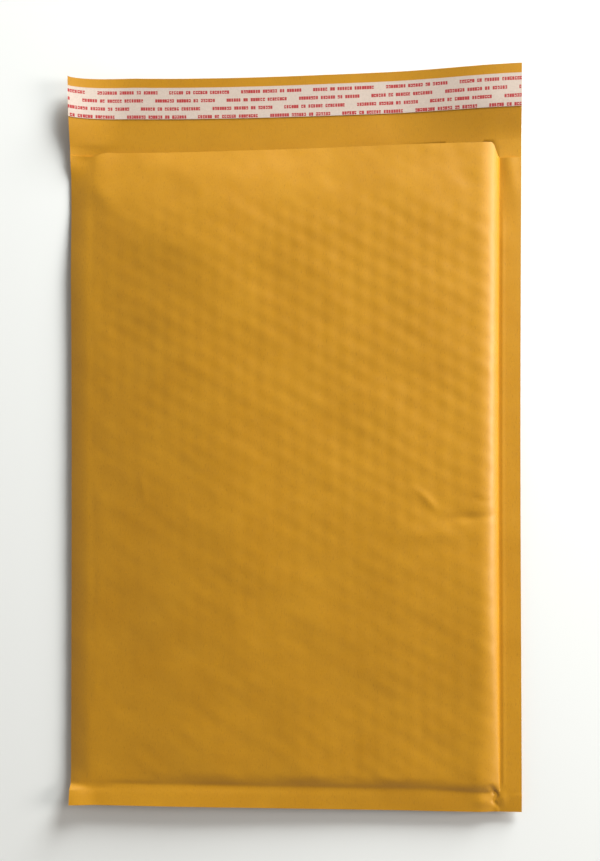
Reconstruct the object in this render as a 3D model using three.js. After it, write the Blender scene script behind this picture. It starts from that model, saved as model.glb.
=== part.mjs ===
// A padded mailing envelope, empty and open, lying on its back.
// X runs across it, +Y from the bottom fold to the flap, +Z up through its front panel.
// The origin is at the centre of the box that bounds it, on the surface it lies on. Millimetres.
import * as THREE from "three";
import { mergeVertices } from "three/addons/utils/BufferGeometryUtils.js";

// Driving dimensions.
const WIDTH = 267;             // paper, side to side
const LENGTH = 435;            // bottom fold to the far corners of the flap
const FLAP_LENGTH = 45.5;      // mouth to the flap's free edge
const SIDE_SEAL = 12.7;        // flat strip where front and back paper are joined
const BOTTOM_MARGIN = 12.8;    // flat paper between the bottom fold and the padding
const PAPER = 0.3;             // thickness of one panel
const GAP = 0.3;               // air between neighbouring layers
const FILM = 3;                // bubble film, one layer
const PILLOW_HEIGHT = 12.2;    // outside, near the edges of the padding
const CROWN = 1.3;             // extra height in the middle of the padding
const SIDE_ROUND = 12;         // width over which the padding rises from a side seal
const MOUTH_ROUND = 16;        // the same, at the mouth
const MOUTH_ZONE = 45;         // length over which the side round grows to the mouth's
const END_ROUND = 16;          // length over which the padding rises from the bottom margin
const LINING_SETBACK = 3;      // the film ends this far inside the mouth
const SIDE_PULL = 0.6;         // the filled sides are drawn in by this much at mid-length
const FLAP_DIP = 3.8;          // the flap's free edge sags back by this much
const DIP_REACH = 58;          // the sag dies out this far below the mouth
const DIP_SKEW = 0.65;         // under 1 puts the deepest sag left of the middle
const CORNER_DROP = 5;         // the front panel's top edge is lower at the side seals
const FLAP_LIFT = 0.6;         // the flap's free edge stands off the surface by this much
const LEFT_LIFT = 3;           // its left corner curls up by this much more
const RIGHT_LIFT = 3.6;        // and its right corner by this much
const LIFT_REACH = 70;         // width of the curl at each corner
const LINER_START = 20.9;      // from the mouth to the release liner
const LINER_WIDTH = 19;
const ADHESIVE_START = 22.9;   // from the mouth to the adhesive
const ADHESIVE_WIDTH = 15;
const ADHESIVE_THICKNESS = 0.2;
const LINER_THICKNESS = 0.2;

// How finely the sheets are divided.
const ROUND_STEPS = 5;
const MIDDLE_COLUMNS = 10;
const MIDDLE_ROWS = 9;
const MOUTH_ROWS = 3;

const BOTTOM = -LENGTH / 2;
const MOUTH = LENGTH / 2 - FLAP_LENGTH;
const BOTTOM_SEAM = BOTTOM + BOTTOM_MARGIN;

const clamp = (value) => Math.min(1, Math.max(0, value));
const smooth = (value) => clamp(value) ** 2 * (3 - 2 * clamp(value));

// Each skin is one face of a layer: how far it lies inside the outer face of the envelope,
// and the height at which its upper and lower halves meet along the seams.
const skinInside = (inset, seam) => ({ inset, seam });
const OUTER_PAPER = skinInside(0, 2 * PAPER);
const INNER_PAPER = skinInside(PAPER, PAPER);
const OUTER_FILM = skinInside(PAPER + GAP, PAPER + GAP);
const INNER_FILM = skinInside(PAPER + GAP + FILM, PAPER + GAP + FILM);

// Plan shape ---------------------------------------------------------------------------------

const halfWidth = (y) => WIDTH / 2 - SIDE_PULL * Math.sin((Math.PI * (y - BOTTOM)) / LENGTH) ** 2;

const seamHalf = (y, skin) => halfWidth(y) - SIDE_SEAL - skin.inset;

const sideRound = (y, skin) =>
  SIDE_ROUND + (MOUTH_ROUND - SIDE_ROUND) * smooth((y - MOUTH + MOUTH_ZONE) / MOUTH_ZONE) - skin.inset;

// The sag of the mouth and flap edges: nothing at the sides, deepest left of the middle.
function sag(x, y) {
  const across = clamp(x / WIDTH + 0.5);
  const along = clamp((y - MOUTH + DIP_REACH) / (DIP_REACH + FLAP_LENGTH));
  return FLAP_DIP * along * Math.sin(Math.PI * across ** DIP_SKEW);
}

// The front panel's top edge is pulled down where it runs into the side seals.
function cornerDrop(x, y) {
  const nearSeal = 1 - smooth((halfWidth(y) - SIDE_SEAL - Math.abs(x)) / MOUTH_ROUND);
  const nearMouth = smooth((y - MOUTH + MOUTH_ZONE) / MOUTH_ZONE);
  return y > MOUTH ? 0 : CORNER_DROP * nearSeal * nearMouth;
}

// Column positions across a row: seal edge, seam, rounded side, middle, and the same mirrored.
function acrossRow(y, skin) {
  const seam = seamHalf(y, skin);
  const round = sideRound(y, skin);
  const left = [-halfWidth(y)];
  for (let step = 0; step <= ROUND_STEPS; step += 1) {
    left.push(-seam + round * (1 - Math.cos((Math.PI * step) / (2 * ROUND_STEPS))));
  }
  const middle = [];
  for (let step = 1; step < MIDDLE_COLUMNS; step += 1) {
    middle.push((seam - round) * ((2 * step) / MIDDLE_COLUMNS - 1));
  }
  return [...left, ...middle, ...left.map((x) => -x).reverse()];
}

// Row positions along the body, from the bottom seam to the end given.
function alongBody(skin, end) {
  const start = BOTTOM_SEAM + skin.inset;
  const round = END_ROUND - skin.inset;
  const mouthZone = MOUTH - MOUTH_ZONE;
  const rows = [];
  for (let step = 0; step <= ROUND_STEPS; step += 1) {
    rows.push(start + round * (1 - Math.cos((Math.PI * step) / (2 * ROUND_STEPS))));
  }
  for (let step = 1; step <= MIDDLE_ROWS; step += 1) {
    rows.push(start + round + ((mouthZone - start - round) * step) / MIDDLE_ROWS);
  }
  for (let step = 1; step <= MOUTH_ROWS; step += 1) {
    rows.push(mouthZone + ((end - mouthZone) * step) / MOUTH_ROWS);
  }
  return rows;
}

// Row positions along the flap, starting at the mouth.
const alongFlap = () => [
  MOUTH,
  MOUTH + LINER_START / 3,
  MOUTH + (2 * LINER_START) / 3,
  MOUTH + LINER_START,
  MOUTH + ADHESIVE_START,
  MOUTH + ADHESIVE_START + ADHESIVE_WIDTH / 2,
  MOUTH + ADHESIVE_START + ADHESIVE_WIDTH,
  MOUTH + LINER_START + LINER_WIDTH,
  MOUTH + FLAP_LENGTH,
];

// Heights ------------------------------------------------------------------------------------

const quarterRound = (distance, round) => Math.sqrt(1 - (1 - clamp(distance / round)) ** 2);

// Upper half of a skin over the padded pocket.
function pocketHeight(x, y, skin) {
  const side = quarterRound(seamHalf(y, skin) - Math.abs(x), sideRound(y, skin));
  const end = quarterRound(y - BOTTOM_SEAM - skin.inset, END_ROUND - skin.inset);
  const bulgeAcross = 1 - (x / seamHalf(y, OUTER_PAPER)) ** 2;
  const bulgeAlong = 1 - ((2 * y - BOTTOM_SEAM - MOUTH) / (MOUTH - BOTTOM_SEAM)) ** 2;
  const top = PILLOW_HEIGHT + CROWN * clamp(bulgeAcross) * clamp(bulgeAlong) - skin.inset;
  return skin.seam + (top - skin.seam) * side * end;
}

// Height of the flap's lower face, flat at the mouth and curling up at its two free corners.
function flapHeight(x, y) {
  const out = clamp((y - MOUTH) / FLAP_LENGTH) ** 2;
  const left = LEFT_LIFT * smooth(1 - (x + WIDTH / 2) / LIFT_REACH);
  const right = RIGHT_LIFT * smooth(1 - (WIDTH / 2 - x) / LIFT_REACH);
  return out * (FLAP_LIFT + left + right);
}

// Mesh building ------------------------------------------------------------------------------

// A sheet of points, row by row. Each height is a function of the nominal place in the sheet.
function sheetOf(rows, skin, height, firstColumn, lastColumn) {
  return rows.map((y) =>
    acrossRow(y, skin)
      .slice(firstColumn, lastColumn)
      .map((x) => new THREE.Vector3(x, y - sag(x, y) - cornerDrop(x, y), height(x, y))),
  );
}

// Quads between the points of a sheet, facing up when rows run along +Y and columns along +X.
function addSheet(triangles, sheet, faceUp) {
  for (let row = 0; row + 1 < sheet.length; row += 1) {
    for (let column = 0; column + 1 < sheet[row].length; column += 1) {
      const a = sheet[row][column];
      const b = sheet[row][column + 1];
      const c = sheet[row + 1][column + 1];
      const d = sheet[row + 1][column];
      triangles.push(...(faceUp ? [a, b, c, a, c, d] : [a, c, b, a, d, c]));
    }
  }
}

// One closed body from loose triangles whose borders match. Slivers of no area are left out.
function closedBody(triangles) {
  const solid = new THREE.BufferGeometry().setFromPoints(triangles);
  const welded = mergeVertices(solid, 1e-3);
  const corners = welded.index.array;
  const kept = [];
  for (let i = 0; i < corners.length; i += 3) {
    const [a, b, c] = corners.slice(i, i + 3);
    if (a !== b && b !== c && c !== a) kept.push(a, b, c);
  }
  welded.setIndex(kept);
  welded.computeVertexNormals();
  return welded;
}

const leftSide = (sheet) => sheet.map((row) => row[0]);
const rightSide = (sheet) => sheet.map((row) => row[row.length - 1]);
const lastRow = (sheet) => sheet[sheet.length - 1];
const atHeight = (line, z) => line.map((point) => new THREE.Vector3(point.x, point.y, z));

// A wall between two lines that run side by side, facing right of the way they run.
const addWall = (triangles, lower, upper) => addSheet(triangles, [lower, upper], true);

// The kraft sheet: front panel, back panel and flap in one piece, joined along the seals.
function kraftSheet() {
  const bodyRows = [BOTTOM, ...alongBody(OUTER_PAPER, MOUTH)];
  const pocketRows = alongBody(INNER_PAPER, MOUTH);
  const flapTop = (x, y) => PAPER + flapHeight(x, y);
  const triangles = [];

  const front = sheetOf(bodyRows, OUTER_PAPER, (x, y) => pocketHeight(x, y, OUTER_PAPER));
  const frontInside = sheetOf(pocketRows, INNER_PAPER, (x, y) => pocketHeight(x, y, INNER_PAPER), 1, -1);
  const backInside = sheetOf(pocketRows, INNER_PAPER, () => PAPER, 1, -1);
  const flap = sheetOf(alongFlap(), INNER_PAPER, flapTop);
  const bodyUnder = sheetOf(bodyRows, OUTER_PAPER, () => 0);
  const flapUnder = sheetOf(alongFlap(), INNER_PAPER, flapHeight);
  flapUnder[0] = lastRow(bodyUnder);
  addSheet(triangles, front, true);
  addSheet(triangles, frontInside, false);
  addSheet(triangles, backInside, true);
  addSheet(triangles, flap, true);
  addSheet(triangles, bodyUnder, false);
  addSheet(triangles, flapUnder, false);

  const mouthLower = [flap[0][0], ...lastRow(frontInside), flap[0].at(-1)];
  addWall(triangles, lastRow(front), mouthLower);
  addWall(triangles, bodyUnder[0], atHeight(front[0], PAPER));
  addWall(triangles, atHeight(front[0], PAPER), front[0]);
  for (const [side, turn] of [[rightSide, false], [leftSide, true]]) {
    const glueLine = atHeight(side(front), PAPER);
    const strips = [
      [side(bodyUnder), glueLine],
      [glueLine, side(front)],
      [side(flapUnder), side(flap)],
    ];
    strips.forEach((strip) => addWall(triangles, ...(turn ? strip.reverse() : strip)));
  }
  addWall(triangles, lastRow(flap), lastRow(flapUnder));
  return closedBody(triangles);
}

// The bubble lining: a folded film pocket, sealed at its sides and bottom, open at the mouth.
function bubbleLining() {
  const end = MOUTH - LINING_SETBACK;
  const triangles = [];
  const half = (skin, height) => sheetOf(alongBody(skin, end), skin, height, 1, -1);
  const outerTop = half(OUTER_FILM, (x, y) => pocketHeight(x, y, OUTER_FILM));
  const outerBottom = half(OUTER_FILM, () => OUTER_FILM.seam);
  const innerTop = half(INNER_FILM, (x, y) => pocketHeight(x, y, INNER_FILM));
  const innerBottom = half(INNER_FILM, () => INNER_FILM.seam);
  addSheet(triangles, outerTop, true);
  addSheet(triangles, outerBottom, false);
  addSheet(triangles, innerTop, false);
  addSheet(triangles, innerBottom, true);
  addWall(triangles, lastRow(outerTop), lastRow(innerTop));
  addWall(triangles, lastRow(innerBottom), lastRow(outerBottom));
  return closedBody(triangles);
}

// A thin strip that lies on the flap from one side edge to the other.
function flapStrip(start, width, clearance, thickness) {
  const rows = alongFlap().filter((y) => y >= MOUTH + start - 1e-6 && y <= MOUTH + start + width + 1e-6);
  const lower = sheetOf(rows, INNER_PAPER, (x, y) => PAPER + clearance + flapHeight(x, y));
  const upper = lower.map((row) => row.map((point) => point.clone().setZ(point.z + thickness)));
  const triangles = [];
  addSheet(triangles, upper, true);
  addSheet(triangles, lower, false);
  addWall(triangles, lower[0], upper[0]);
  addWall(triangles, lastRow(upper), lastRow(lower));
  addWall(triangles, rightSide(lower), rightSide(upper));
  addWall(triangles, leftSide(upper), leftSide(lower));
  return closedBody(triangles);
}

// Materials and assembly ---------------------------------------------------------------------

function namedMesh(name, geometry, color, roughness) {
  const mesh = new THREE.Mesh(geometry, new THREE.MeshStandardMaterial({ color, roughness, metalness: 0 }));
  mesh.name = name;
  return mesh;
}

const envelope = new THREE.Group();
envelope.name = "padded_envelope";
envelope.add(
  namedMesh("kraft_sheet", kraftSheet(), 0xcc9338, 0.7),
  namedMesh("bubble_lining", bubbleLining(), 0xe8eef0, 0.3),
  namedMesh(
    "adhesive_strip",
    flapStrip(ADHESIVE_START, ADHESIVE_WIDTH, GAP, ADHESIVE_THICKNESS),
    0xd8c48a,
    0.25,
  ),
  namedMesh(
    "release_liner",
    flapStrip(LINER_START, LINER_WIDTH, 2 * GAP + ADHESIVE_THICKNESS, LINER_THICKNESS),
    0xe6d4c4,
    0.5,
  ),
);

export default envelope;
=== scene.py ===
"""A padded mailing envelope of brown kraft paper with a bubble film lining, lying open on a pale floor.

Everything is in metres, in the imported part's frame: X across the envelope, +Y towards its flap, +Z up.
The kraft sheet is one closed mesh, the film is two walls of real bubbles, and the adhesive and the
release liner are thin layers that follow the flap.
"""

import math

import bpy
import numpy as np
from mathutils import Matrix, Vector


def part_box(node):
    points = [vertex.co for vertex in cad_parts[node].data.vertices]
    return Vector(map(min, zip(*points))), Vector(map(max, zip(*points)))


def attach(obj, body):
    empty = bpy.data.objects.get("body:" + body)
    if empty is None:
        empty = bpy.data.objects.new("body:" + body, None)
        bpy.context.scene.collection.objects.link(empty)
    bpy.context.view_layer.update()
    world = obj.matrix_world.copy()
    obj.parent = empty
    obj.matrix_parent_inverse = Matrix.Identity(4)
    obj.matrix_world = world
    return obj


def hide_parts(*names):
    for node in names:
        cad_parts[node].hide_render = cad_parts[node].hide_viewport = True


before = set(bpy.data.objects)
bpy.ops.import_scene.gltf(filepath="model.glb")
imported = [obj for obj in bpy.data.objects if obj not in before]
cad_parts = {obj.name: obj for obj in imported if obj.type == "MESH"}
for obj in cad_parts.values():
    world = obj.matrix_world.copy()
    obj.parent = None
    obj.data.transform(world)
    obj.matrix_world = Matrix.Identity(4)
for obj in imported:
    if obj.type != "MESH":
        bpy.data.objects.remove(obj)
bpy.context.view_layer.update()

MM = 0.001

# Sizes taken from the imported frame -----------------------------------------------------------

sheet_low, sheet_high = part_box("kraft_sheet")
film_low, film_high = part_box("bubble_lining")
LAYER = 0.6 * MM                                  # one paper and one gap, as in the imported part
WIDTH = sheet_high.x - sheet_low.x
BOTTOM = sheet_low.y
TOP = sheet_high.y
LENGTH = TOP - BOTTOM
SIDE_SEAL = sheet_high.x - film_high.x - LAYER
BOTTOM_SEAM = film_low.y - LAYER
CROWN_HEIGHT = sheet_high.z

# Sizes repeated from the part's design ---------------------------------------------------------

FLAP_LENGTH = 45.5 * MM
MOUTH = TOP - FLAP_LENGTH
SIDE_PULL = 0.6 * MM
FLAP_DIP = 3.8 * MM
DIP_REACH = 58 * MM
DIP_SKEW = 0.65
LINING_SETBACK = 3 * MM
LINER_START = 20.9 * MM
LINER_WIDTH = 19 * MM
ADHESIVE_START = 22.9 * MM
ADHESIVE_WIDTH = 15 * MM

# What only the looks need ----------------------------------------------------------------------

PAPER = 0.22 * MM              # one panel, as it looks
CROWN = CROWN_HEIGHT - 0.3 * MM

LEFT_SEAM = 6.0 * MM           # heights of the seams over the floor, half way up the padding
RIGHT_SEAM = 3.8 * MM
BOTTOM_CREASE = 6.4 * MM
CREASE_LEFT_END = 6.2 * MM
CREASE_RIGHT_END = 4.2 * MM
LEFT_DROOP = 2.9 * MM          # the left seal slopes down to its edge
RIGHT_DROOP = 0.3 * MM
BOTTOM_RISE = 1.7 * MM         # the bottom margin rises to its edge
LEFT_DOME = 92 * MM            # the padding climbs gently on the left
RIGHT_ROUND = 11.5 * MM        # and has a full round shoulder on the right
BOTTOM_ROUND = 8 * MM
BOTTOM_DOME = 165 * MM
CORNER_BACK = 2.4 * MM         # the flap's left corner, curling up, also draws back
CORNER_DROP_LEFT = 2.5 * MM    # the front panel's top edge falls back at the side seals
CORNER_DROP_RIGHT = 8.3 * MM
CORNER_LEFT = 10 * MM
CORNER_RIGHT = 4.5 * MM

BUBBLE_PITCH = 10.92 * MM      # in a column of bubbles
COLUMN_PITCH = 9.43 * MM       # between columns
FIRST_BUBBLE = (3.8 * MM, -5.0 * MM)
BACK_BUBBLE = (2.6 * MM, 4.1 * MM)
BUBBLE_RADIUS = 4.9 * MM
BUBBLE_HEIGHT = 3.0 * MM
IMPRINT = 0.15 * MM            # how far the bubbles print through the paper

LINER_LAYER = (0.24 * MM, 0.34 * MM)      # heights of its lower and upper face above the flap
ADHESIVE_LAYER = (0.03 * MM, 0.19 * MM)
ADHESIVE_RAGGED = 0.25 * MM    # unevenness of the adhesive's long edges

FILM_THICK = 0.12 * MM         # the flat film
FILM_CLEAR = 0.75 * MM         # paper and air between the sheet's outer faces and the film
BACK_SINK = 0.3 * MM           # the back wall lies this much lower where it has room
FILM_LEAST = 0.02 * MM         # half the height left for the lining where it is squeezed most
FILM_SIDE_GAP = 0.8 * MM       # from the film to the side seams
FILM_END_GAP = 1.0 * MM        # and to the bottom seam
FILM_SHARE = 0.2               # most of a bubble's height that its flat film takes
BUBBLE_SHARE = 0.92            # most of the room that a bubble takes
LEAST_CUT = 0.3 * MM           # a bubble that reaches in from the sides by less is left out
END_REACH = 5.2 * MM           # and so is one centred further than this past the ends
FILM_DROP = 2.3                # its drop at the top corners, as a multiple of the front panel's

FINE = 1.6 * MM                # cell of the front panel and the flap
STRIP_CELL = 1.8 * MM          # cell of the layers on the flap, along them
WELD = 0.002 * MM              # points about this close together become one
SHARP_ANGLE = 48               # degrees: a sharper bend than this is shaded as an edge
SEED = 5


def clamp(value):
    return np.clip(value, 0.0, 1.0)


def smooth(value):
    t = clamp(value)
    return t * t * (3 - 2 * t)


def gauss(value):
    return np.exp(-value * value)


# The envelope's shape --------------------------------------------------------------------------

def half_width(y):
    along = clamp((y - BOTTOM) / LENGTH)
    return WIDTH / 2 - SIDE_PULL * np.sin(math.pi * along) ** 2


def seam_half(y):
    return half_width(y) - SIDE_SEAL


def sag(x, y):
    """How far the mouth and the flap's free edge hang back, deepest left of the middle."""
    across = clamp(x / WIDTH + 0.5)
    along = clamp((y - MOUTH + DIP_REACH) / (DIP_REACH + FLAP_LENGTH))
    corner = CORNER_BACK * clamp((y - MOUTH) / FLAP_LENGTH) * smooth(1 - (x + WIDTH / 2) / (42 * MM))
    return FLAP_DIP * along * np.sin(math.pi * across ** DIP_SKEW) + corner


def corner_drop(x, y):
    """The front panel's top edge is pulled down where it runs into the side seals."""
    reach = np.where(x < 0, CORNER_LEFT, CORNER_RIGHT)
    inside = seam_half(y) - np.abs(x)
    drop = np.where(x < 0, CORNER_DROP_LEFT, CORNER_DROP_RIGHT)
    return drop * (1 - smooth(inside / reach)) * smooth((y - MOUTH + 45 * MM) / (45 * MM))


def quarter_round(share):
    return np.sqrt(1 - (1 - clamp(share)) ** 2)


def crease_height(x):
    """Height of the bottom crease, which bends down at its right end."""
    left = (CREASE_LEFT_END - BOTTOM_CREASE) * smooth((-x - 85 * MM) / (35 * MM))
    right = (CREASE_RIGHT_END - BOTTOM_CREASE) * smooth((x - 107 * MM) / (14 * MM))
    return BOTTOM_CREASE + left + right


def seam_plane(x, y):
    """Height at which front and back meet: half way up the padding. It sinks to the floor at the
    mouth, apart from the mouth's right end."""
    seam = seam_half(y)
    inside = np.clip(x, -seam, seam)
    across = LEFT_SEAM + (RIGHT_SEAM - LEFT_SEAM) * smooth((inside + seam) / (2 * seam))
    low = 1 - smooth((y - BOTTOM_SEAM) / (60 * MM))
    height = across + (crease_height(inside) - across) * low
    kept = smooth((x - 55 * MM) / (65 * MM))
    return height * (1 - (1 - kept) * clamp((y - MOUTH + 78 * MM) / (78 * MM)) ** 1.5)


def curls(x, y):
    """Corners and edges of the sheet that curl up off their plane."""
    from_left, from_right = x + WIDTH / 2, WIDTH / 2 - x
    out = (y - MOUTH) / FLAP_LENGTH
    left_up = 2.0 * MM * smooth((y - MOUTH + 18 * MM) / (20 * MM)) + 5.6 * MM * smooth(out + 0.35)
    reach = 12 * MM + 16 * MM * smooth((y - MOUTH + 4 * MM) / (10 * MM)) + 8 * MM * clamp(out)
    left = left_up * clamp(1 - from_left / reach) ** 1.8
    right = 3.2 * MM * smooth((y - MOUTH) / (26 * MM)) * smooth(1 - from_right / (72 * MM)) ** 1.2
    edge = 2.0 * MM * clamp(out) ** 1.5
    low_left = 2.0 * MM * smooth(1 - np.hypot(from_left, 0.7 * (y - BOTTOM)) / (17 * MM))
    low_right = 0.6 * MM * smooth(1 - np.hypot(from_right, y - BOTTOM) / (26 * MM))
    return left + right + edge + low_left + low_right


def margin_height(x, y):
    """Height of the lower face of the sealed margins and the flap."""
    side = clamp((np.abs(x) - seam_half(y)) / SIDE_SEAL)
    end = clamp((BOTTOM_SEAM - y) / (BOTTOM_SEAM - BOTTOM))
    droop = np.where(x < 0, LEFT_DROOP, RIGHT_DROOP) * side ** 1.5
    droop = droop * smooth((y - BOTTOM_SEAM + 4 * MM) / (3 * MM)) * smooth((MOUTH - y) / (40 * MM))
    rise = BOTTOM_RISE * end * (1 - 1.35 * smooth((x + 80 * MM) / (150 * MM)))
    return seam_plane(x, y) - droop + rise + curls(x, y)


def under_height(x, y):
    """Height of the whole lower face: the padding rests on the floor and climbs to the seams."""
    side = np.sin(math.pi / 2 * clamp((seam_half(y) - np.abs(x)) / (24 * MM)))
    end = np.sin(math.pi / 2 * clamp((y - BOTTOM_SEAM) / (30 * MM)))
    tucked = np.where(y > MOUTH, 0.0, side * end)
    return margin_height(x, y) * (1 - tucked)


def bulge(x, y):
    """How far the padded front stands above the plane of the seams."""
    from_left = clamp((x + seam_half(y)) / LEFT_DOME)
    left = 0.62 * (1 - (1 - from_left) ** 2.4) + 0.38 * smooth(from_left)
    from_right = seam_half(y) - x
    right = 0.88 * quarter_round(from_right / RIGHT_ROUND) + 0.12 * smooth(from_right / (60 * MM))
    full = smooth((x - 70 * MM) / (48 * MM))
    up = y - BOTTOM_SEAM + 1.6 * MM * full
    step = np.sin(math.pi / 2 * clamp(up / (BOTTOM_ROUND * (1 - 0.2 * full))))
    end = 1 - (1 - clamp(up / (BOTTOM_DOME * (1 - 0.25 * full)))) ** 1.6
    end = end + (step - end) * (0.16 + 0.13 * full ** 2)
    reach = (58 - 18 * smooth((x + 60 * MM) / (150 * MM))) * MM
    fall = 0.5 + 0.25 * smooth((-x - 20 * MM) / (60 * MM))
    fall = fall - 0.36 * smooth((x + 10 * MM) / (90 * MM))
    mouth = 1 - fall * clamp((y - MOUTH + reach) / reach) ** 1.5
    return (CROWN - seam_plane(x, y)) * left * right * end * mouth


def front_height(x, y):
    """The front panel's outer face before the prints and wrinkles are added."""
    return margin_height(x, y) + 2 * PAPER + bulge(x, y)


# Relief of the paper ----------------------------------------------------------------------------

def bubble_waves(s, t):
    """The three waves whose crests meet over each bubble, from about -0.1 to 1."""
    a = 2 * math.pi * (s - FIRST_BUBBLE[0]) / COLUMN_PITCH
    b = 2 * math.pi * (t - FIRST_BUBBLE[1]) / BUBBLE_PITCH
    return (0.95 * np.cos(a) + 1.0 * np.cos(b + a / 2) + 0.3 * np.cos(b - a / 2) + 1.2) / 3.45


def soft_noise(s, t, seed, shortest, longest, count=26):
    """Smooth unevenness: a seeded sum of waves, longer ones higher. About -1 to 1."""
    draw = np.random.default_rng(seed)
    total = np.zeros_like(s)
    weight = 0.0
    for _ in range(count):
        length = shortest * (longest / shortest) ** draw.random()
        angle = draw.random() * math.pi
        phase = draw.random() * 2 * math.pi
        along = s * math.cos(angle) + t * math.sin(angle)
        total += length * np.cos(2 * math.pi * along / length + phase)
        weight += length * length
    return total / math.sqrt(weight) / 1.4


def fold(s, t, points, height, width):
    """A crease along a few points, in millimetres: a soft ridge that fades out at both ends."""
    path = np.array(points, float) * MM
    steps = np.diff(path, axis=0)
    lengths = np.hypot(steps[:, 0], steps[:, 1])
    whole = lengths.sum()
    nearest = np.full(s.shape, 1.0)
    place = np.zeros(s.shape)
    before = 0.0
    for start, step, length in zip(path[:-1], steps, lengths):
        share = clamp(((s - start[0]) * step[0] + (t - start[1]) * step[1]) / length ** 2)
        away = np.hypot(s - start[0] - share * step[0], t - start[1] - share * step[1])
        closer = away < nearest
        nearest = np.where(closer, away, nearest)
        place = np.where(closer, (before + share * length) / whole, place)
        before += length
    fade = np.sin(math.pi * clamp(0.08 + 0.84 * place)) ** 0.7
    return height * MM * gauss(nearest / (width * MM)) * fade


def swelling(s, t, x, y, wide, tall, height, turn):
    """A soft swelling or hollow, sizes in millimetres, turned by some degrees."""
    c, n = math.cos(math.radians(turn)), math.sin(math.radians(turn))
    u = (s - x * MM) * c + (t - y * MM) * n
    v = (t - y * MM) * c - (s - x * MM) * n
    return height * MM * gauss(np.hypot(u / (wide * MM), v / (tall * MM)))


# Each crease: its points in millimetres, then its height and its width.
CREASES = [
    ([(-118, 152), (-98, 139), (-70, 118), (-30, 88)], 0.62, 18.0),
    ([(-117.5, 186), (-118.5, 166), (-118, 152), (-112, 140)], 1.3, 8.0),
    ([(-124, -206.6), (-60, -206.2), (50, -205.9), (98, -206.4)], -0.22, 2.4),
    ([(-132, -207.6), (-122, -207.4), (-108, -207)], -0.28, 2.2),
    ([(71, -28), (78, -34), (84, -41)], 0.5, 1.8),
    ([(90, -46), (104, -45.5), (117, -45)], -0.5, 2.4),
    ([(104, -33), (111, -36), (117, -36)], -0.3, 1.5),
    ([(-92, -11), (-84, -17), (-90, -22), (-87, -38), (-75, -41)], 0.13, 1.5),
    ([(96, 166), (99, 156), (104, 145)], -0.3, 5.0),
    ([(115.5, -202), (117.5, -205.5), (119, -208), (117.2, -211), (119.4, -214)], -1.0, 1.0),
    ([(119.5, -212), (119.2, -215), (119.6, -218)], 0.3, 1.0),
]
# Each swelling: centre x and y, half sizes, height in millimetres, and turn in degrees.
SWELLINGS = [
    (86, -55, 20, 5.0, 0.45, 0),
    (-58, 158, 24, 9, 0.2, 0),
    (-6, 166, 20, 8, -0.35, 0),
    (55, 150, 28, 10, 0.3, -20),
    (60, 90, 55, 60, 0.4, 0),
    (-10, -120, 90, 50, -0.2, 0),
    (134.5, 162, 4.5, 22, 0.8, 0),
    (111.5, -211.5, 5, 3.5, 0.6, 0),
    (122.5, -210, 2.5, 4, 0.5, 0),
]


def paper_relief(s, t, padded):
    """Prints of the bubbles, unevenness and creases of the front panel, along its surface."""
    pressed = 0.2 + 0.2 * soft_noise(s, t, SEED, 40 * MM, 140 * MM)
    pressed += 0.5 * smooth((s + 90 * MM) / (150 * MM)) + 0.65 * smooth((t + 90 * MM) / (120 * MM))
    pressed -= 1.1 * smooth((t - 124 * MM) / (26 * MM))
    pressed += 0.28 * soft_noise(s, t, SEED + 8, 16 * MM, 45 * MM)
    pressed += 0.2 * soft_noise(s, t, SEED + 11, 9 * MM, 17 * MM)
    slip_s = 0.9 * MM * soft_noise(s, t, SEED + 9, 25 * MM, 70 * MM)
    slip_t = 0.9 * MM * soft_noise(s, t, SEED + 10, 25 * MM, 70 * MM)
    relief = IMPRINT * np.clip(pressed, 0.05, 1.8) * bubble_waves(s + slip_s, t + slip_t)
    relief = relief + 0.08 * MM * soft_noise(s, t, SEED + 1, 9 * MM, 26 * MM)
    relief = (relief + 0.3 * MM * soft_noise(s, t, SEED + 2, 30 * MM, 110 * MM)) * padded
    for points, height, width in CREASES:
        relief = relief + fold(s, t, points, height, width)
    for place in SWELLINGS:
        relief = relief + swelling(s, t, *place)
    return relief


def seal_relief(x, y):
    """Slight waviness of the flat seals and the press line beside the right seam."""
    wave = 0.12 * MM * soft_noise(x, y, SEED + 3, 14 * MM, 60 * MM)
    beside = x - seam_half(y)
    groove = -0.25 * MM * gauss((beside - 0.5 * MM) / (0.6 * MM))
    rib = 0.16 * MM * gauss((beside - 2.2 * MM) / (0.9 * MM))
    rib = rib * (1 - 1.5 * smooth((y - MOUTH + 60 * MM) / (36 * MM)))
    return wave + (groove + rib) * smooth((y - BOTTOM_SEAM) / (6 * MM))


def flap_wave(x, y):
    wave = 0.14 * MM * soft_noise(x, y, SEED + 4, 25 * MM, 90 * MM)
    return np.maximum(wave, 0) * smooth((y - MOUTH) / (8 * MM))


# Building meshes ---------------------------------------------------------------------------------

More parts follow.
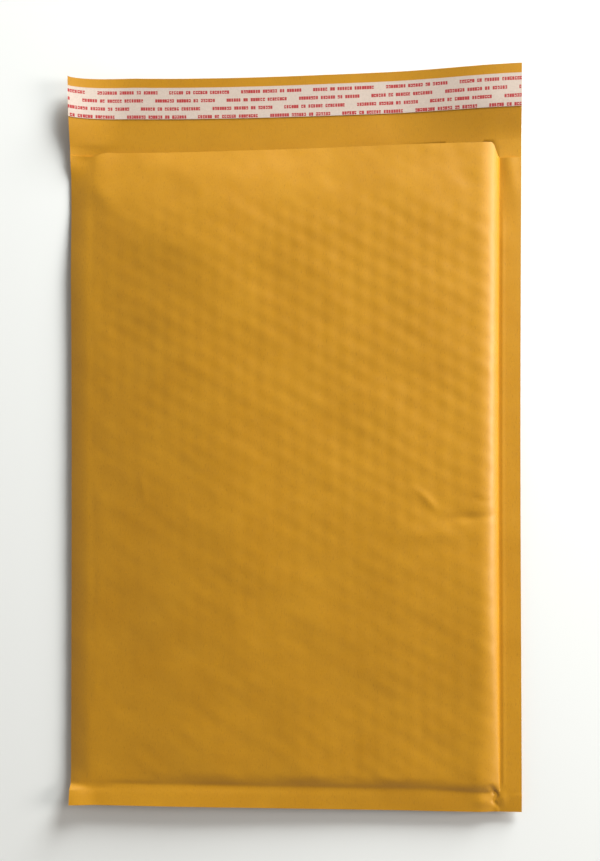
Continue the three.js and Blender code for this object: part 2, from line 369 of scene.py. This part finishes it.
class Body:
    """Collects sheets of points and triangles, then welds equal points into one mesh."""

    def __init__(self):
        self.points = []
        self.faces = []
        self.count = 0

    def add(self, points, faces):
        self.points.append(np.asarray(points, float).reshape(-1, 3))
        self.faces.append(np.asarray(faces, int) + self.count)
        self.count += len(self.points[-1])

    def add_grid(self, grid, face_up):
        """Two triangles for each cell. Rows run along +Y and columns along +X when it faces up."""
        rows, columns = grid.shape[:2]
        index = np.arange(rows * columns).reshape(rows, columns)
        a, b = index[:-1, :-1].ravel(), index[:-1, 1:].ravel()
        c, d = index[1:, 1:].ravel(), index[1:, :-1].ravel()
        first, second = np.stack([a, b, c], 1), np.stack([a, c, d], 1)
        faces = np.concatenate([first, second])
        self.add(grid, faces if face_up else faces[:, ::-1])

    def add_wall(self, lower, upper):
        """A strip between two lines of equal length, facing right of the way they run."""
        self.add_grid(np.stack([lower, upper]), True)

    def add_slab(self, lower, upper):
        """A closed thin body between two equal sheets."""
        self.add_grid(upper, True)
        self.add_grid(lower, False)
        self.add_wall(lower[0], upper[0])
        self.add_wall(lower[:, -1], upper[:, -1])
        self.add_wall(lower[-1, ::-1], upper[-1, ::-1])
        self.add_wall(lower[::-1, 0], upper[::-1, 0])

    def add_zip(self, lower, upper):
        """A strip between two lines of unequal length that start and end together."""
        places = []
        for line in (lower, upper):
            steps = np.linalg.norm(np.diff(line, axis=0), axis=1)
            places.append(np.concatenate([[0.0], np.cumsum(steps)]) / steps.sum())
        i, j = 0, 0
        faces = []
        offset = len(lower)
        while i < len(lower) - 1 or j < len(upper) - 1:
            lower_next = places[0][i + 1] if i < len(lower) - 1 else 9.0
            upper_next = places[1][j + 1] if j < len(upper) - 1 else 9.0
            if lower_next <= upper_next:
                faces.append((i, i + 1, offset + j))
                i += 1
            else:
                faces.append((i, offset + j + 1, offset + j))
                j += 1
        self.add(np.concatenate([lower, upper]), faces)

    def mesh(self, name):
        """One object of all the sheets, with equal points welded."""
        points = np.concatenate(self.points)
        faces = np.concatenate(self.faces)
        kept, merged = weld(points)
        a, b, c = merged[faces].T
        whole = (a != b) & (b != c) & (c != a)
        return new_mesh(name, points[kept], without_double_faces(merged[faces][whole]))


def weld(points):
    """Which points are kept where some count as one, and for each point the place of its stand-in."""
    cells = np.round(points / WELD).astype(np.int64)
    _, kept, merged = np.unique(cells, axis=0, return_index=True, return_inverse=True)
    return kept, merged.reshape(-1)


def without_double_faces(faces):
    """Triangles on the same three points that face opposite ways enclose nothing, so both go."""
    a, b, c = faces.T
    facing = np.sign((b - a) * (c - b) * (a - c))
    group = np.unique(np.sort(faces, axis=1), axis=0, return_inverse=True)[1].reshape(-1)
    net = np.bincount(group, weights=facing)[group]
    return faces[net != 0]


def new_mesh(name, points, faces):
    """A smooth-shaded Blender object from points and triangles."""
    data = bpy.data.meshes.new(name)
    data.vertices.add(len(points))
    data.vertices.foreach_set("co", np.asarray(points, np.float32).ravel())
    data.loops.add(len(faces) * 3)
    data.loops.foreach_set("vertex_index", np.asarray(faces, np.int32).ravel())
    data.polygons.add(len(faces))
    data.polygons.foreach_set("loop_start", np.arange(len(faces), dtype=np.int32) * 3)
    data.update(calc_edges=True)
    data.polygons.foreach_set("use_smooth", [True] * len(data.polygons))
    data.set_sharp_from_angle(angle=math.radians(SHARP_ANGLE))
    made = bpy.data.objects.new(name, data)
    bpy.context.scene.collection.objects.link(made)
    return made


def divide(start, end, size):
    """Evenly spaced places from start to end, about size apart."""
    return np.linspace(start, end, max(2, int(round(abs(end - start) / size)) + 1))


LEFT_CELLS = 8
ROUND_CELLS = 12
RIGHT_CELLS = 16
POCKET = slice(LEFT_CELLS, -RIGHT_CELLS)
POCKET_ROWS = 46
FLAT_CELLS = int(round((WIDTH - 2 * SIDE_SEAL - RIGHT_ROUND) / FINE))
ROUND_SHAPE = 1 - np.cos(np.linspace(0, math.pi / 2, ROUND_CELLS + 1))


def columns_at(y):
    """X of each column on a row: left seal, panel, rounded right side, right seal."""
    seam, edge = float(seam_half(y)), float(half_width(y))
    flat = np.linspace(-seam, seam - RIGHT_ROUND, FLAT_CELLS + 1)
    return np.concatenate([
        np.linspace(-edge, -seam, LEFT_CELLS + 1)[:-1],
        flat[:-1],
        seam - RIGHT_ROUND * ROUND_SHAPE[::-1][:-1],
        np.linspace(seam, edge, RIGHT_CELLS + 1),
    ])


def body_rows(size):
    """Y of each row of the body, from the bottom fold to the mouth."""
    return np.concatenate([
        divide(BOTTOM, BOTTOM_SEAM, size / 2)[:-1],
        divide(BOTTOM_SEAM, BOTTOM_SEAM + BOTTOM_ROUND, size / 1.6)[:-1],
        divide(BOTTOM_SEAM + BOTTOM_ROUND, MOUTH, size),
    ])


def plan(rows):
    """Nominal x and y of every point of a sheet with the envelope's columns."""
    xs = np.stack([columns_at(y) for y in rows])
    ys = np.repeat(np.asarray(rows)[:, None], xs.shape[1], axis=1)
    return xs, ys


def placed(xs, ys, zs, drop=True):
    """Points at nominal places, with the sag of the top edges and the drop at the mouth corners."""
    shift = sag(xs, ys) + (corner_drop(xs, ys) if drop else 0.0)
    return np.stack([xs, ys - shift, zs], axis=-1)


def grid_normals(grid):
    """Unit normal at each point of a sheet, facing up for a level sheet."""
    along = np.gradient(grid, axis=0)
    across = np.gradient(grid, axis=1)
    normal = np.cross(across, along)
    return normal / np.maximum(np.linalg.norm(normal, axis=-1, keepdims=True), 1e-12)


def surface_places(grid):
    """Distance along the surface from the sheet's middle, across and along."""
    across = np.linalg.norm(np.diff(grid, axis=1), axis=-1)
    s = np.concatenate([np.zeros((len(grid), 1)), np.cumsum(across, axis=1)], axis=1)
    middle = grid.shape[1] // 2
    s = s - s[:, middle:middle + 1] + grid[:, middle:middle + 1, 0]
    return s, grid[..., 1]


# The kraft sheet -----------------------------------------------------------------------------------

def inset(x, y):
    """Distance from the seams, less than 0 on the sealed margins."""
    return np.minimum(seam_half(y) - np.abs(x), y - BOTTOM_SEAM)


def sealed(x, y):
    """1 on the sealed margins, fading out over the edge of the padding."""
    return 1 - smooth((inset(x, y) + 0.5 * MM) / (3 * MM))


def front_sheet():
    """Outer face of the front panel and its seals, with prints, creases and curls."""
    xs, ys = plan(body_rows(FINE))
    grid = placed(xs, ys, front_height(xs, ys))
    s, t = surface_places(grid)
    padded = smooth((inset(xs, ys) - 0.5 * MM) / (6 * MM))
    grid = grid + grid_normals(grid) * paper_relief(s, t, padded)[..., None]
    grid[..., 2] += seal_relief(xs, ys) * sealed(xs, ys)
    return grid, xs, ys


def pocket_faces(front, xs, ys):
    """Inner faces of the front and back panels. They meet at the seams."""
    start = int(np.argmin(np.abs(ys[:, 0] - BOTTOM_SEAM)))
    picked = np.unique(np.round(np.linspace(start, len(front) - 1, POCKET_ROWS)).astype(int))
    thick = PAPER + 0.4 * MM * smooth((MOUTH - ys[picked][:, POCKET]) / (12 * MM))
    inner_front = front[picked][:, POCKET] - grid_normals(front)[picked][:, POCKET] * thick[..., None]
    inner_back = inner_front.copy()
    inner_back[..., 2] = under_height(xs, ys)[picked][:, POCKET] + PAPER
    for border in (np.s_[:, 0], np.s_[:, -1], np.s_[0, :]):
        inner_front[border] = inner_back[border]
    return inner_front, inner_back


def flap_faces(front, xs, ys, inner_back):
    """Inner and outer face of the flap. The inner face's first row is where the pocket ends."""
    flap_xs, flap_ys = plan(divide(MOUTH, TOP, FINE))
    flap = placed(flap_xs, flap_ys, flap_face(flap_xs, flap_ys), drop=False)
    flap_under = flap - np.array([0, 0, PAPER])
    flap[0] = front[-1] + np.array([0, 0.1 * MM, 0])
    flap[0, :, 2] = under_height(xs, ys)[-1] + PAPER
    flap[0, POCKET] = inner_back[-1]
    return flap, flap_under


def under_sheet():
    """Outer face of the back panel and its seals, with faint prints."""
    xs, ys = plan(body_rows(2 * FINE))
    prints = 0.1 * MM * (1 - bubble_waves(xs, ys)) * smooth((inset(xs, ys) - 8 * MM) / (10 * MM))
    zs = under_height(xs, ys) + prints
    zs = zs + seal_relief(xs, ys) * sealed(xs, ys)
    return placed(xs, ys, zs)


def kraft_sheet(front, xs, ys):
    """The folded sheet: front panel, back panel and flap, as one closed mesh."""
    inner_front, inner_back = pocket_faces(front, xs, ys)
    flap, flap_under = flap_faces(front, xs, ys, inner_back)
    under = under_sheet()
    flap_under[0] = under[-1]
    body = Body()
    body.add_grid(front, True)
    body.add_grid(inner_front, False)
    body.add_grid(inner_back, True)
    body.add_grid(flap, True)
    body.add_grid(under, False)
    body.add_grid(flap_under, False)
    mouth_lower = flap[0].copy()
    mouth_lower[POCKET] = inner_front[-1]
    body.add_wall(front[-1], mouth_lower)
    body.add_wall(under[0], front[0])
    body.add_zip(under[:, -1], np.concatenate([front[:, -1], flap[:1, -1]]))
    body.add_zip(np.concatenate([front[:, 0], flap[:1, 0]])[::-1], under[::-1, 0])
    body.add_wall(flap_under[:, -1], flap[:, -1])
    body.add_wall(flap[:, 0], flap_under[:, 0])
    body.add_wall(flap[-1], flap_under[-1])
    return body.mesh("kraft_paper")


def flap_face(x, y):
    """Height of the flap's inner face, the one that carries the adhesive."""
    return margin_height(x, y) + PAPER + flap_wave(x, y)


# The layers on the flap ------------------------------------------------------------------------------

def strip_sheets(x_from, x_to, start, width, layer, ragged=0.0):
    """Lower and upper face of a thin strip that follows the flap, at a layer's two heights above it."""
    across = divide(MOUTH + start, MOUTH + start + width, FINE)
    xs, ys = np.meshgrid(divide(x_from, x_to, STRIP_CELL), across)
    share = (ys - MOUTH - start) / width
    low_edge = ragged * soft_noise(xs, ys * 0, SEED + 6, 4 * MM, 30 * MM)
    high_edge = ragged * soft_noise(xs, ys * 0, SEED + 7, 4 * MM, 30 * MM)
    y = ys + low_edge * (1 - share) + high_edge * share
    face = flap_face(xs, y)
    return [placed(xs, y, face + height, drop=False) for height in layer]


def release_liner():
    low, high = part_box("release_liner")
    body = Body()
    body.add_slab(*strip_sheets(low.x, high.x, LINER_START, LINER_WIDTH, LINER_LAYER))
    piece = body.mesh("liner_strip")
    lay_strip_flat(piece)
    return piece


def lay_strip_flat(piece):
    """A flat map of the strip for its marks: places along and across it, in units of PRINT_UNIT."""
    layer = piece.data.uv_layers.new(name="strip")
    x, y, _ = np.array([vertex.co for vertex in piece.data.vertices]).T
    flat = np.stack([x, y + sag(x, y) - MOUTH - LINER_START], 1)
    corners = np.array([loop.vertex_index for loop in piece.data.loops])
    layer.data.foreach_set("uv", (flat[corners] / MM / PRINT_UNIT).astype(np.float32).ravel())


def adhesive_strip():
    low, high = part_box("adhesive_strip")
    body = Body()
    body.add_slab(*strip_sheets(
        low.x, high.x, ADHESIVE_START, ADHESIVE_WIDTH, ADHESIVE_LAYER, ADHESIVE_RAGGED
    ))
    return body.mesh("adhesive")


# The bubble film -------------------------------------------------------------------------------------

# Rings of a bubble: share of its radius, share of its height.
RINGS = [(1.0, 0.0), (0.97, 0.5), (0.86, 0.84), (0.6, 0.97)]
RING_POINTS = 12
BUBBLE_COLUMNS = range(-14, 15)   # more than enough to cover the lining
BUBBLE_ROWS = range(-24, 20)
TABLE_COLUMNS = 400


def sample(xs, ys, values, x, y):
    """Values of a sheet at places between its points, by way of a table with even columns."""
    rows = ys[:, 0]
    row = np.clip(np.interp(y, rows, np.arange(len(rows))), 0, len(rows) - 1.001)
    low = row.astype(int)
    part = row - low
    found = np.zeros_like(x)
    table = np.linspace(0, 1, TABLE_COLUMNS)
    seams = [float(seam_half(place)) for place in rows]
    looked = np.stack([
        np.interp(table * 2 * seam - seam, xs[k], values[k]) for k, seam in enumerate(seams)
    ])
    share = clamp((x + seam_half(y)) / (2 * seam_half(y)))
    column = np.clip(share * (TABLE_COLUMNS - 1), 0, TABLE_COLUMNS - 1.001)
    left = column.astype(int)
    side = column - left
    for r, wr in ((low, 1 - part), (low + 1, part)):
        for c, wc in ((left, 1 - side), (left + 1, side)):
            found = found + looked[r, c] * wr * wc
    return found


def bubble_outline():
    """Corners and mid-sides of the six-sided cell that one bubble fills, where three cells meet."""
    corner_x = (COLUMN_PITCH ** 2 + BUBBLE_PITCH ** 2 / 4) / (2 * COLUMN_PITCH)
    side_x = COLUMN_PITCH - corner_x
    hexagon = [(corner_x, 0), (side_x, BUBBLE_PITCH / 2), (-side_x, BUBBLE_PITCH / 2)]
    hexagon = np.array(hexagon + [(-x, -y) for x, y in hexagon])
    outline = np.empty((RING_POINTS, 2))
    outline[0::2] = hexagon
    outline[1::2] = (hexagon + np.roll(hexagon, -1, axis=0)) / 2
    return outline, corner_x


def bubble_cell(outline):
    """One bubble in its cell: points as x, y and height share, its triangles and its flat ones."""
    angles = np.arange(RING_POINTS) * 2 * math.pi / RING_POINTS
    circle = np.stack([np.cos(angles), np.sin(angles)], 1) * BUBBLE_RADIUS
    rings = [np.column_stack([outline, np.zeros(RING_POINTS)])]
    rings += [np.column_stack([circle * r, np.full(RING_POINTS, h)]) for r, h in RINGS]
    cell = np.concatenate(rings + [np.array([[0, 0, 1.0]])])
    around = np.arange(RING_POINTS)
    after = (around + 1) % RING_POINTS
    top = np.full(RING_POINTS, len(rings) * RING_POINTS)
    faces = []
    for k in range(len(rings) - 1):
        a, b = k * RING_POINTS + around, k * RING_POINTS + after
        faces.append(np.stack([a, b, b + RING_POINTS], 1))
        faces.append(np.stack([a, b + RING_POINTS, a + RING_POINTS], 1))
    last = (len(rings) - 1) * RING_POINTS
    faces.append(np.stack([last + around, last + after, top], 1))
    return cell, np.concatenate(faces), np.stack([around, after, top], 1)


def bubble_field(shift):
    """A field of bubbles cut to the lining: its points, its triangles and its flat ones."""
    half = float(seam_half(0.0)) - FILM_SIDE_GAP
    low, high = BOTTOM_SEAM + FILM_END_GAP, MOUTH - LINING_SETBACK
    outline, corner_x = bubble_outline()
    cell, faces, flat_faces = bubble_cell(outline)
    centres = []
    for column in BUBBLE_COLUMNS:
        for row in BUBBLE_ROWS:
            x = column * COLUMN_PITCH + shift[0]
            y = (row + 0.5 * (column % 2)) * BUBBLE_PITCH + shift[1]
            in_reach = low - END_REACH < y < high + END_REACH
            if in_reach and abs(x) < half + corner_x - LEAST_CUT:
                centres.append((x, y))
    centres = np.array(centres)
    points = np.tile(cell, (len(centres), 1, 1))
    points[..., 0] = np.clip(points[..., 0] + centres[:, None, 0], -half, half)
    points[..., 1] = np.clip(points[..., 1] + centres[:, None, 1], low, high)
    index = np.arange(len(centres))[:, None, None] * len(cell)
    return points.reshape(-1, 3), (faces + index).reshape(-1, 3), (flat_faces + index).reshape(-1, 3)


def film_levels(outside, floor, rise, is_front):
    """Heights of the bubbled face and of the flat film of one wall, between the two papers."""
    middle = (outside + floor) / 2
    room = np.maximum((outside - floor) / 2 - FILM_CLEAR, FILM_LEAST)
    thick = 1 / (1 / BUBBLE_HEIGHT ** 4 + 1 / (room * BUBBLE_SHARE) ** 4) ** 0.25
    film = np.minimum(FILM_THICK, thick * FILM_SHARE)
    if is_front:
        land = middle + room - thick
        return land + rise * thick, land - film
    land = middle - room - BACK_SINK * clamp(room / (2 * MM)) + thick
    return land - rise * thick, land + film


def film_wall(name, front, xs, ys, is_front):
    """One wall of the lining: bubbles towards the paper and a flat film towards the pocket."""
    points, faces, flat_faces = bubble_field(FIRST_BUBBLE if is_front else BACK_BUBBLE)
    x, y, rise = points.T
    x = x * (seam_half(y) / float(seam_half(0.0)))
    outside = sample(xs, ys, front[..., 2], x, y)
    top, back = film_levels(outside, under_height(x, y), rise, is_front)
    y = y - sag(x, y) - FILM_DROP * corner_drop(x, y)
    bubbles = np.stack([x, y, top], 1)
    backing = np.stack([x, y, back], 1)
    body = Body()
    body.add(bubbles, faces if is_front else faces[:, ::-1])
    body.add(backing, flat_faces[:, ::-1] if is_front else flat_faces)
    rim = np.array([(0, 2, 1), (0, 3, 2)])
    for a, b in open_edges(bubbles, flat_faces):
        quad = np.stack([bubbles[a], bubbles[b], backing[b], backing[a]])
        body.add(quad, rim if is_front else rim[:, ::-1])
    return body.mesh(name)


def open_edges(points, faces):
    """Edges that only one triangle uses, in its direction, where equal points count as one."""
    _, merged = weld(points)
    edges = np.concatenate([faces[:, [0, 1]], faces[:, [1, 2]], faces[:, [2, 0]]])
    ends = merged[edges]
    whole = ends[:, 0] != ends[:, 1]
    edges, ends = edges[whole], ends[whole]
    forward = {}
    for (a, b), edge in zip(ends.tolist(), edges.tolist()):
        forward.setdefault((a, b), []).append(edge)
    rims = []
    for (a, b), found in forward.items():
        rims += found[:max(0, len(found) - len(forward.get((b, a), [])))]
    return rims


# Materials -------------------------------------------------------------------------------------------

class Nodes:
    """Short calls for building a material's node tree."""

    def __init__(self, name):
        self.material = bpy.data.materials.new(name)
        self.material.use_nodes = True
        self.tree = self.material.node_tree
        self.tree.nodes.clear()
        self.output = self.tree.nodes.new("ShaderNodeOutputMaterial")

    def new(self, kind, links=(), **values):
        """A node. links maps inputs to sockets, values sets properties."""
        node = self.tree.nodes.new(kind)
        for key, value in values.items():
            setattr(node, key, value)
        for key, source in dict(links).items():
            if isinstance(source, bpy.types.NodeSocket):
                self.tree.links.new(source, node.inputs[key])
            else:
                node.inputs[key].default_value = source
        return node

    def math(self, operation, a, b=0.0, c=0.0):
        node = self.new("ShaderNodeMath", {0: a, 1: b, 2: c}, operation=operation)
        return node.outputs[0]

    def noise(self, vector, scale, detail=3.0, roughness=0.55, distortion=0.0):
        node = self.new("ShaderNodeTexNoise", {
            "Vector": vector,
            "Scale": scale,
            "Detail": detail,
            "Roughness": roughness,
            "Distortion": distortion,
        })
        return node.outputs["Fac"]

    def ramp(self, factor, stops):
        node = self.new("ShaderNodeValToRGB", {"Fac": factor})
        ramp = node.color_ramp
        while len(ramp.elements) < len(stops):
            ramp.elements.new(0.5)
        for element, (position, color) in zip(ramp.elements, stops):
            element.position = position
            element.color = (*color, 1)
        return node.outputs["Color"]

    def mix(self, factor, a, b, blend_type="MIX"):
        links = {0: factor, 6: a, 7: b}
        node = self.new("ShaderNodeMix", links, data_type="RGBA", blend_type=blend_type)
        return node.outputs[2]

    def place(self, stretch=(1.0, 1.0, 1.0)):
        """The object's own coordinates, each multiplied by a number."""
        place = self.new("ShaderNodeTexCoord").outputs["Object"]
        if stretch == (1.0, 1.0, 1.0):
            return place
        return self.new("ShaderNodeMapping", {"Vector": place, "Scale": stretch}).outputs[0]

    def repeat(self, place, period):
        """Which repeat of a pattern a place is in, and how far into it."""
        share = self.math("DIVIDE", place, period)
        return self.math("FLOOR", share), self.math("MULTIPLY", self.math("FRACT", share), period)

    def bump(self, strength, distance, height):
        links = {"Strength": strength, "Distance": distance, "Height": height}
        return self.new("ShaderNodeBump", links).outputs[0]

    def finish(self, color, roughness, others=()):
        """The material, with one principled shader. others maps more of its sockets to values."""
        links = {"Base Color": color, "Roughness": roughness, **dict(others)}
        shader = self.new("ShaderNodeBsdfPrincipled", links)
        self.tree.links.new(shader.outputs[0], self.output.inputs["Surface"])
        return self.material


# Colours, as linear red, green and blue
KRAFT_COLORS = [(0.32, (0.510, 0.226, 0.0024)), (0.68, (0.548, 0.251, 0.0050))]
KRAFT_BLOTCH = (0.41, 0.186, 0.0025, 1)
KRAFT_DARK_FIBRES = [(0.56, (1, 1, 1)), (0.72, (0.80, 0.76, 0.70))]
KRAFT_LIGHT_FIBRES = [(0.60, (1, 1, 1)), (0.74, (1.10, 1.10, 1.12))]
KRAFT_GLOSS = 0.74
FILM_COLORS = [(0.3, (0.62, 0.66, 0.68)), (0.7, (0.74, 0.77, 0.78))]
ADHESIVE_COLORS = [(0.3, (0.74, 0.62, 0.40)), (0.7, (0.84, 0.75, 0.55))]
LINER_COLORS = [(0.3, (0.58, 0.47, 0.40)), (0.7, (0.66, 0.54, 0.465))]
MARK_COLOR = (0.42, 0.004, 0.014, 1)
FLOOR_COLOR = (0.86, 0.86, 0.855, 1)


def kraft_material():
    """Machine-glazed brown kraft: fibres, faint mill lines, cloudiness and a low sheen."""
    n = Nodes("kraft_paper")
    place = n.place()
    cloud = n.noise(place, 34.0, 4.0, 0.6)
    blotch = n.noise(place, 260.0, 3.0, 0.6)
    fibre = n.noise(n.place((1.0, 0.16, 1.0)), 2600.0, 3.0, 0.65, 0.4)
    cross = n.noise(n.place((0.22, 1.0, 1.0)), 2100.0, 2.0, 0.6, 0.6)
    grain = n.noise(place, 5200.0, 2.0, 0.6)
    tinted = n.mix(n.math("MULTIPLY", blotch, 0.22), n.ramp(cloud, KRAFT_COLORS), KRAFT_BLOTCH)
    darker = n.mix(1.0, tinted, n.ramp(fibre, KRAFT_DARK_FIBRES), "MULTIPLY")
    color = n.mix(1.0, darker, n.ramp(cross, KRAFT_LIGHT_FIBRES), "MULTIPLY")
    rough = n.math("MULTIPLY_ADD", blotch, 0.12, 0.39)
    height = n.math("MULTIPLY", cross, 0.4)
    height = n.math("MULTIPLY_ADD", grain, 0.35, height)
    height = n.math("MULTIPLY_ADD", fibre, 0.5, height)
    bump = n.bump(0.16, 0.12 * MM, height)
    return n.finish(color, rough, {"Specular IOR Level": KRAFT_GLOSS, "Normal": bump})


def film_material():
    """Clear bubble film, a little milky, glossy, with faint draw lines."""
    n = Nodes("bubble_film")
    lines = n.noise(n.place((1.0, 0.1, 1.0)), 700.0, 3.0, 0.6)
    haze = n.noise(n.place(), 120.0, 3.0, 0.6)
    rough = n.math("MULTIPLY_ADD", lines, 0.14, 0.12)
    alpha = n.math("MULTIPLY_ADD", haze, 0.2, 0.24)
    bump = n.bump(0.12, 0.1 * MM, lines)
    return n.finish(n.ramp(haze, FILM_COLORS), rough, {"Alpha": alpha, "Normal": bump})


def adhesive_material():
    """Hot-melt adhesive: a clear amber layer, glossy, with small coating streaks."""
    n = Nodes("adhesive")
    streaks = n.noise(n.place((0.08, 1.0, 1.0)), 900.0, 3.0, 0.6)
    alpha = n.math("MULTIPLY_ADD", streaks, 0.2, 0.55)
    bump = n.bump(0.2, 0.1 * MM, streaks)
    return n.finish(n.ramp(streaks, ADHESIVE_COLORS), 0.12, {"Alpha": alpha, "Normal": bump})


# The liner's marks, in millimetres on the strip laid flat
PRINT_UNIT = 100.0             # one unit of the flat map
PRINT_START = -1.1             # lower edge of the first row
PRINT_ROW = 4.9                # spacing of the rows
PRINT_SHIFT = 8.6              # each row starts this much further left than the one above it
PRINT_AHEAD = 400.0            # keeps every place on the right of the first run
RUN_PERIOD = 42.9              # from the start of one run of marks to the next
RUN_LENGTH = 35.9
TICK = 1.44                    # from one tick to the next
GROUPS = [(0, 6), (7, 9), (10, 16), (17, 25)]   # first and last tick of each group in a run


def tick_shape(n, tick_place, in_row, seat):
    """1 inside a tick. Its width varies by chance, and some ticks have a small notch cut in."""
    chance = n.new("ShaderNodeTexWhiteNoise", {"Vector": seat}, noise_dimensions="3D").outputs["Color"]
    draws = n.new("ShaderNodeSeparateColor", {"Color": chance}).outputs
    within = n.math("FRACT", tick_place)
    wide = n.math("LESS_THAN", within, n.math("MULTIPLY_ADD", draws[0], 0.2, 0.74))
    notched = n.math("MULTIPLY", n.math("GREATER_THAN", within, 0.3), n.math("GREATER_THAN", draws[1], 0.6))
    notch = n.math("COMPARE", in_row, n.math("MULTIPLY_ADD", draws[2], 0.5, 2.0), 0.2)
    body = n.math("COMPARE", in_row, 2.3, 1.0)
    return n.math("MULTIPLY", wide, n.math("SUBTRACT", body, n.math("MULTIPLY", notch, notched)))


def liner_marks(n):
    """1 inside the small marks: rows of runs of ticks in groups, every other run turned round."""
    flat = n.new("ShaderNodeUVMap", uv_map="strip").outputs[0]
    parts = n.new("ShaderNodeSeparateXYZ", {"Vector": flat}).outputs
    u = n.math("MULTIPLY", parts[0], PRINT_UNIT)
    v = n.math("MULTIPLY", parts[1], PRINT_UNIT)
    row, in_row = n.repeat(n.math("SUBTRACT", v, PRINT_START), PRINT_ROW)
    shifted = n.math("ADD", u, n.math("MULTIPLY_ADD", row, -PRINT_SHIFT, PRINT_AHEAD))
    run, in_run = n.repeat(shifted, RUN_PERIOD)
    odd = n.math("MODULO", n.math("ADD", run, row), 2.0)
    forward = n.math("MULTIPLY", in_run, n.math("SUBTRACT", 1.0, odd))
    turned = n.math("MULTIPLY", n.math("SUBTRACT", RUN_LENGTH, in_run), odd)
    tick_place = n.math("DIVIDE", n.math("ADD", forward, turned), TICK)
    grouped = 0.0
    for first, last in GROUPS:
        after = n.math("GREATER_THAN", tick_place, first)
        inside = n.math("MULTIPLY", after, n.math("LESS_THAN", tick_place, last))
        grouped = n.math("ADD", grouped, inside)
    seat = n.new("ShaderNodeCombineXYZ", {0: n.math("FLOOR", tick_place), 1: row, 2: run}).outputs[0]
    ticks = n.math("MULTIPLY", tick_shape(n, tick_place, in_row, seat), grouped)
    return n.math("MULTIPLY", ticks, n.math("LESS_THAN", in_run, RUN_LENGTH))


def liner_material():
    """Siliconised release paper with rows of small red marks in place of its printed words."""
    n = Nodes("liner_paper")
    fibre = n.noise(n.place(), 900.0, 4.0, 0.65)
    marks = n.math("MULTIPLY", liner_marks(n), 0.93)
    color = n.mix(marks, n.ramp(fibre, LINER_COLORS), MARK_COLOR)
    rough = n.math("MULTIPLY_ADD", fibre, 0.14, 0.34)
    return n.finish(color, rough, {"Normal": n.bump(0.06, 0.1 * MM, fibre)})


# Stage, lights and camera -------------------------------------------------------------------------------

CAMERA_PLACE = (0.0726, 0.0081, 0.850)
CAMERA_YAW = 4.63
CAMERA_PITCH = -0.22
CAMERA_ROLL = -0.06
CAMERA_LENS = 60.2             # with a sensor of this width, both in millimetres
CAMERA_SENSOR = 36
WALLS = 0.70                   # brightness of the room, dimmer overhead
CEILING = 0.08
ROOM_COLOR = (1.0, 0.945, 0.86, 1)
FLOOR_HALF = 30.0              # half the floor's side, in metres
FLOOR_DROP = 0.05 * MM         # keeps the floor clear of the envelope's lower face


def make_floor():
    low, high = -FLOOR_HALF, FLOOR_HALF
    corners = np.array([(low, low, 0), (high, low, 0), (high, high, 0), (low, high, 0)])
    floor = new_mesh("floor", corners - [0, 0, FLOOR_DROP], [(0, 1, 2), (0, 2, 3)])
    floor.data.materials.append(Nodes("pale_floor").finish(FLOOR_COLOR, 0.8))


def make_light(name, azimuth, elevation, distance, size, power, color):
    """A square soft light, aimed at the envelope. Its azimuth, in degrees, runs from +X towards +Y."""
    data = bpy.data.lights.new(name, "AREA")
    data.size = size
    data.energy = power
    data.color = color
    lamp = bpy.data.objects.new(name, data)
    a, e = math.radians(azimuth), math.radians(elevation)
    towards = Vector((math.cos(a) * math.cos(e), math.sin(a) * math.cos(e), math.sin(e)))
    lamp.location = towards * distance
    lamp.rotation_mode = "QUATERNION"
    lamp.rotation_quaternion = lamp.location.to_track_quat("Z", "Y")
    bpy.context.scene.collection.objects.link(lamp)


def make_world():
    """A room with bright walls and a dim ceiling."""
    world = bpy.data.worlds.new("studio")
    bpy.context.scene.world = world
    world.use_nodes = True
    nodes, links = world.node_tree.nodes, world.node_tree.links
    place = nodes.new("ShaderNodeTexCoord")
    parts = nodes.new("ShaderNodeSeparateXYZ")
    level = nodes.new("ShaderNodeMapRange")
    level.inputs["To Min"].default_value = WALLS
    level.inputs["To Max"].default_value = CEILING
    background = nodes["Background"]
    background.inputs["Color"].default_value = ROOM_COLOR
    links.new(place.outputs["Generated"], parts.inputs[0])
    links.new(parts.outputs["Z"], level.inputs["Value"])
    links.new(level.outputs[0], background.inputs["Strength"])


def make_camera():
    data = bpy.data.cameras.new("camera")
    data.lens = CAMERA_LENS
    data.sensor_width = CAMERA_SENSOR
    data.clip_start = 0.01
    camera = bpy.data.objects.new("camera", data)
    turn = Matrix.Rotation(math.radians(CAMERA_YAW), 4, "Y")
    turn = turn @ Matrix.Rotation(math.radians(CAMERA_PITCH), 4, "X")
    turn = turn @ Matrix.Rotation(math.radians(CAMERA_ROLL), 4, "Z")
    camera.matrix_world = Matrix.Translation(CAMERA_PLACE) @ turn
    bpy.context.scene.collection.objects.link(camera)
    bpy.context.scene.camera = camera


def add_piece(piece, node, material):
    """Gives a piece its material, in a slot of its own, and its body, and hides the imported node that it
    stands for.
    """
    piece.data.materials.append(material)
    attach(piece, "root")
    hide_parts(node)


bpy.context.scene.view_settings.view_transform = "Standard"
make_camera()
make_world()
make_floor()
make_light(
    "key", azimuth=56, elevation=20, distance=1.9, size=0.9, power=74.5, color=(0.95, 1.0, 0.99)
)
make_light(
    "side", azimuth=4, elevation=24, distance=2.0, size=0.6, power=20, color=(1.0, 0.98, 0.94)
)

front, plan_x, plan_y = front_sheet()
add_piece(kraft_sheet(front, plan_x, plan_y), "kraft_sheet", kraft_material())
film = film_material()
front_film = film_wall("front_film", front, plan_x, plan_y, True)
back_film = film_wall("back_film", front, plan_x, plan_y, False)
for wall in (front_film, back_film):
    add_piece(wall, "bubble_lining", film)
add_piece(adhesive_strip(), "adhesive_strip", adhesive_material())
add_piece(release_liner(), "release_liner", liner_material())
